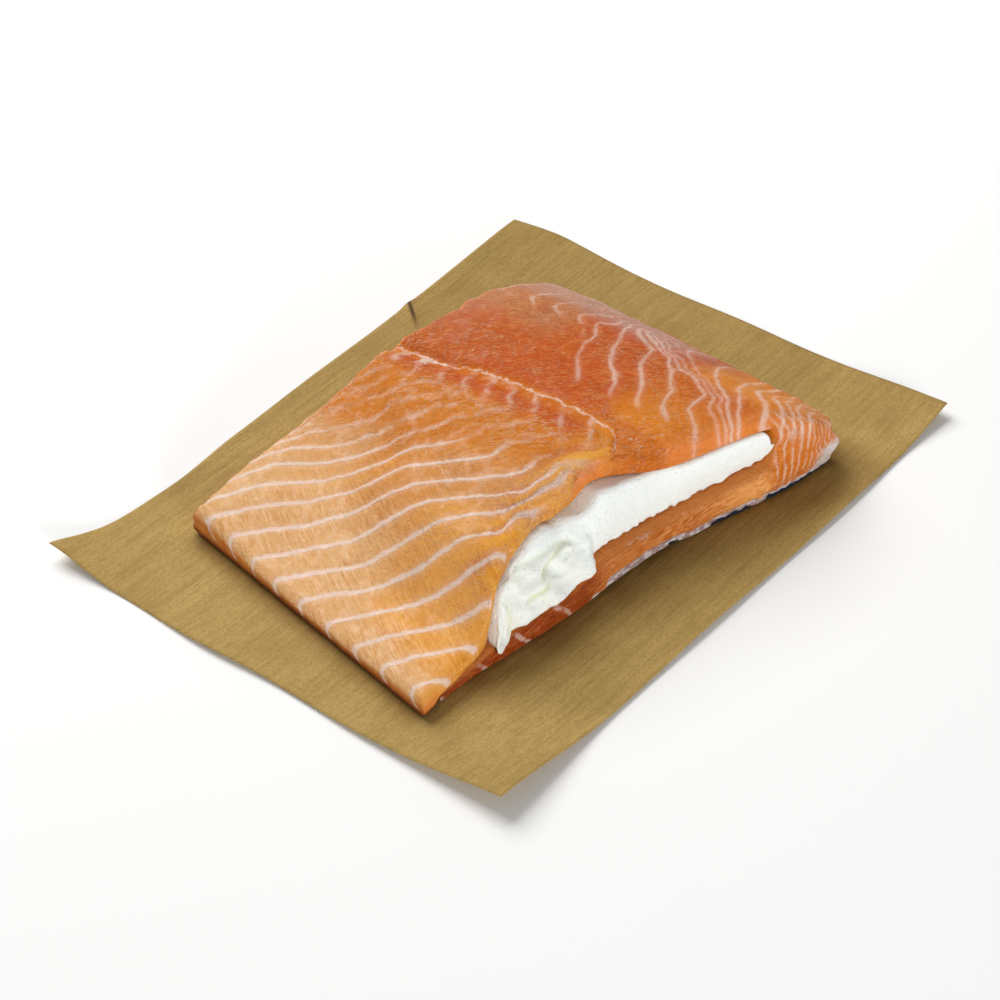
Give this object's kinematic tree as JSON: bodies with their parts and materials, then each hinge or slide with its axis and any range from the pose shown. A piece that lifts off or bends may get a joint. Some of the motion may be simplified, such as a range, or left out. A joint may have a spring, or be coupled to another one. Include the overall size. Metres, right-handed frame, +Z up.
{
  "type": "stuffed salmon parcel",
  "caption": "Salmon fillet folded over a thick slab of soft white cheese, lying on its sheet of brown paper.",
  "frame": {"origin": "centre of the paper sheet on the surface that it lies on", "axes": "+X along the paper's long side, from the fish's thin belly edge to its thick folded edge; +Y from the cut front, where the filling shows, to the rear; +Z up"},
  "size_m": [0.256, 0.2, 0.0425],
  "materials": {
    "salmon_flesh": "wet raw fish, orange with pale fat lines",
    "soft_cheese": "moist, finely pitted",
    "brown_paper": "ribbed greaseproof paper"
  },
  "bodies": {
    "root": {"salmon_fillet": "salmon_flesh", "cheese_filling": "soft_cheese", "paper_sheet": "brown_paper"}
  },
  "joints": []
}
